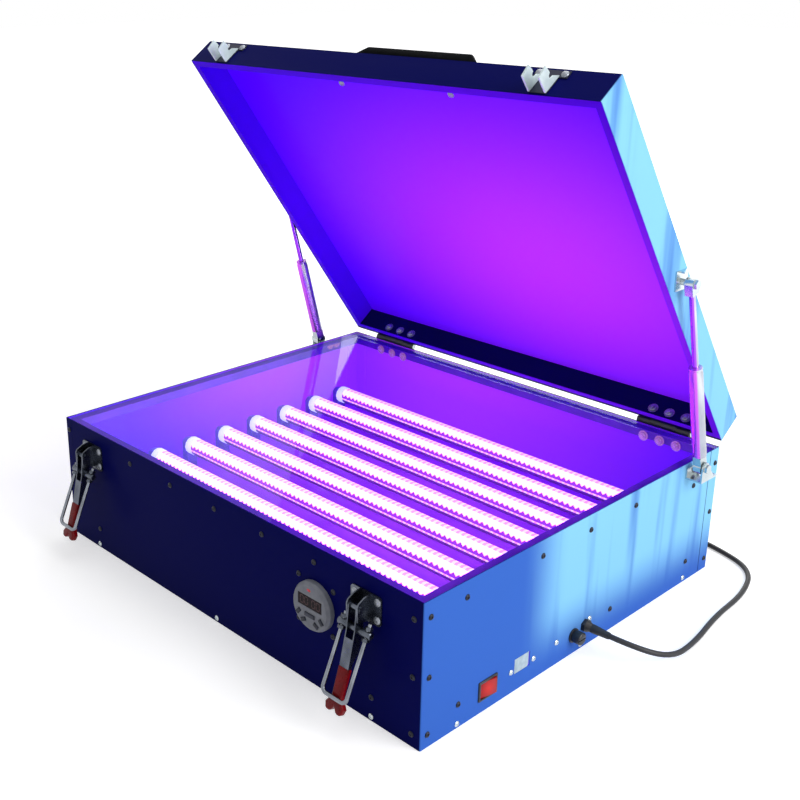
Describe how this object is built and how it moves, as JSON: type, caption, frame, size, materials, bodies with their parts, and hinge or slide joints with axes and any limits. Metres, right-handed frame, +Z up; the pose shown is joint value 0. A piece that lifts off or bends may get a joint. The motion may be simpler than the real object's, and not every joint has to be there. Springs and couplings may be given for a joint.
{
  "type": "screen printing exposure unit",
  "caption": "Bench UV exposure unit: a sheet-metal light box with LED tubes under a glass bed, and a hinged lid held open by gas struts and closed by toggle latches.",
  "frame": {"origin": "centre of the base's underside, on the surface it stands on", "axes": "+Z up, -Y out of the front panel with the timer and latches, +X to the right side with the switch and cord"},
  "size_m": [0.8258, 0.8223, 0.7015],
  "materials": {
    "cabinet_blue": "gloss",
    "inner_zinc": "satin",
    "plate_glass": "polished",
    "floor_white": "satin",
    "tube_diffuser": "satin",
    "tube_aluminium": "satin",
    "circuit_board": "matte",
    "white_plastic": "gloss",
    "driver_case": "satin",
    "bezel_grey": "satin",
    "body_black": "matte",
    "display_dark": "gloss",
    "button_blue": "satin",
    "button_red": "satin",
    "frame_black": "gloss",
    "rocker_red": "gloss",
    "socket_grey": "satin",
    "fuse_black": "satin",
    "hinge_black": "satin",
    "bolt_steel": "satin",
    "zinc_plate": "satin",
    "grip_vinyl": "gloss",
    "bail_steel": "polished",
    "lid_blue": "gloss",
    "handle_black": "satin",
    "foot_grey": "satin",
    "strut_end": "matte",
    "strut_paint": "satin",
    "strut_rod_chrome": "polished",
    "cord_black": "satin",
    "blade_brass": "polished"
  },
  "bodies": {
    "base": {"front_right_panel": "cabinet_blue", "left_panel": "cabinet_blue", "back_panel": "cabinet_blue", "base_tray": "inner_zinc", "corner_posts": "inner_zinc", "glass_frame": "cabinet_blue", "exposure_glass": "plate_glass", "lamp_floor": "floor_white", "led_tube_covers": "tube_diffuser", "led_tube_spines": "tube_aluminium", "led_boards": "circuit_board", "led_end_caps": "white_plastic", "lampholders": "white_plastic", "led_driver": "driver_case", "timer_bezel": "bezel_grey", "timer_body": "body_black", "timer_display": "display_dark", "switch_frame": "frame_black", "socket_insert": "socket_grey", "fuse_holder": "fuse_black", "fuse_cap": "fuse_black", "cable_gland": "fuse_black", "hinge_base_leaves": "hinge_black", "hinge_pins": "bolt_steel", "latch_bases": "zinc_plate", "strut_lower_brackets": "zinc_plate", "base_fasteners": "bolt_steel", "cord_tube": "cord_black", "cord_coil": "cord_black", "cord_plug": "cord_black", "plug_blades": "blade_brass"},
    "lid": {"lid_shell": "lid_blue", "hinge_lid_leaves": "hinge_black", "catches": "zinc_plate", "lid_bolts": "bolt_steel", "handle_bow": "handle_black", "handle_feet": "foot_grey", "strut_upper_brackets": "zinc_plate"},
    "rocker": {"switch_rocker": "rocker_red"},
    "strut_cylinder_left": {"strut_foot_left": "strut_end", "strut_cylinder_left": "strut_paint"},
    "strut_rod_left": {"strut_rod_left": "strut_rod_chrome", "strut_rod_end_left": "zinc_plate"},
    "latch_lever_left": {"latch_lever_left": "zinc_plate", "latch_grip_left": "grip_vinyl"},
    "latch_bail_left": {"latch_bail_left": "bail_steel", "latch_barrel_left": "zinc_plate"},
    "strut_cylinder_right": {"strut_foot_right": "strut_end", "strut_cylinder_right": "strut_paint"},
    "strut_rod_right": {"strut_rod_right": "strut_rod_chrome", "strut_rod_end_right": "zinc_plate"},
    "latch_lever_right": {"latch_lever_right": "zinc_plate", "latch_grip_right": "grip_vinyl"},
    "latch_bail_right": {"latch_bail_right": "bail_steel", "latch_barrel_right": "zinc_plate"},
    "button_1": {"timer_button_1": "button_blue"},
    "button_2": {"timer_button_2": "button_blue"},
    "button_3": {"timer_button_3": "button_red"},
    "button_4": {"timer_button_4": "button_blue"},
    "button_5": {"timer_button_5": "button_blue"}
  },
  "joints": [
    {"name": "lid_hinge", "type": "hinge", "parent": "base", "child": "lid", "pos_m": [0, 0.302, 0.1848], "axis": [1, 0, 0], "range_deg": [0, 54.2]},
    {"name": "strut_swing_left", "type": "hinge", "parent": "base", "child": "strut_cylinder_left", "pos_m": [-0.365, 0.2185, 0.1825], "axis": [1, 0, 0], "range_deg": [0, 67.4]},
    {"name": "strut_slide_left", "type": "slide", "parent": "strut_cylinder_left", "child": "strut_rod_left", "axis": [0, -0.265, 0.9643], "range_m": [-0.0518, 0], "stiffness_N_per_m": 1000, "springref_m": 0.15},
    {"name": "strut_swing_right", "type": "hinge", "parent": "base", "child": "strut_cylinder_right", "pos_m": [0.365, 0.2185, 0.1825], "axis": [1, 0, 0], "range_deg": [0, 67.4]},
    {"name": "strut_slide_right", "type": "slide", "parent": "strut_cylinder_right", "child": "strut_rod_right", "axis": [0, -0.265, 0.9643], "range_m": [-0.0518, 0], "stiffness_N_per_m": 1000, "springref_m": 0.15},
    {"name": "latch_throw_left", "type": "hinge", "parent": "base", "child": "latch_lever_left", "pos_m": [-0.281, -0.3135, 0.15], "axis": [1, 0, 0], "range_deg": [-110, 0]},
    {"name": "bail_swing_left", "type": "hinge", "parent": "latch_lever_left", "child": "latch_bail_left", "pos_m": [-0.281, -0.3135, 0.124], "axis": [-1, 0, 0], "range_deg": [0, 159.56]},
    {"name": "latch_throw_right", "type": "hinge", "parent": "base", "child": "latch_lever_right", "pos_m": [0.267, -0.3135, 0.15], "axis": [1, 0, 0], "range_deg": [-110, 0]},
    {"name": "bail_swing_right", "type": "hinge", "parent": "latch_lever_right", "child": "latch_bail_right", "pos_m": [0.267, -0.3135, 0.124], "axis": [-1, 0, 0], "range_deg": [0, 159.56]},
    {"name": "rocker_tilt", "type": "hinge", "parent": "base", "child": "rocker", "pos_m": [0.3478, -0.184, 0.029], "axis": [0, 0, 1], "range_deg": [0, 20]},
    {"name": "button_press_1", "type": "slide", "parent": "base", "child": "button_1", "axis": [0, 1, 0], "range_m": [0, 0.001], "stiffness_N_per_m": 200, "springref_m": -0.002},
    {"name": "button_press_2", "type": "slide", "parent": "base", "child": "button_2", "axis": [0, 1, 0], "range_m": [0, 0.001], "stiffness_N_per_m": 200, "springref_m": -0.002},
    {"name": "button_press_3", "type": "slide", "parent": "base", "child": "button_3", "axis": [0, 1, 0], "range_m": [0, 0.001], "stiffness_N_per_m": 200, "springref_m": -0.002},
    {"name": "button_press_4", "type": "slide", "parent": "base", "child": "button_4", "axis": [0, 1, 0], "range_m": [0, 0.001], "stiffness_N_per_m": 200, "springref_m": -0.002},
    {"name": "button_press_5", "type": "slide", "parent": "base", "child": "button_5", "axis": [0, 1, 0], "range_m": [0, 0.001], "stiffness_N_per_m": 200, "springref_m": -0.002}
  ],
  "couplings": [
    {"joint": "strut_swing_left", "follows": "lid_hinge", "ratio": 1.2435},
    {"joint": "strut_slide_left", "follows": "lid_hinge", "m_per_rad": -0.05473},
    {"joint": "strut_swing_right", "follows": "lid_hinge", "ratio": 1.2435},
    {"joint": "strut_slide_right", "follows": "lid_hinge", "m_per_rad": -0.05473}
  ]
}
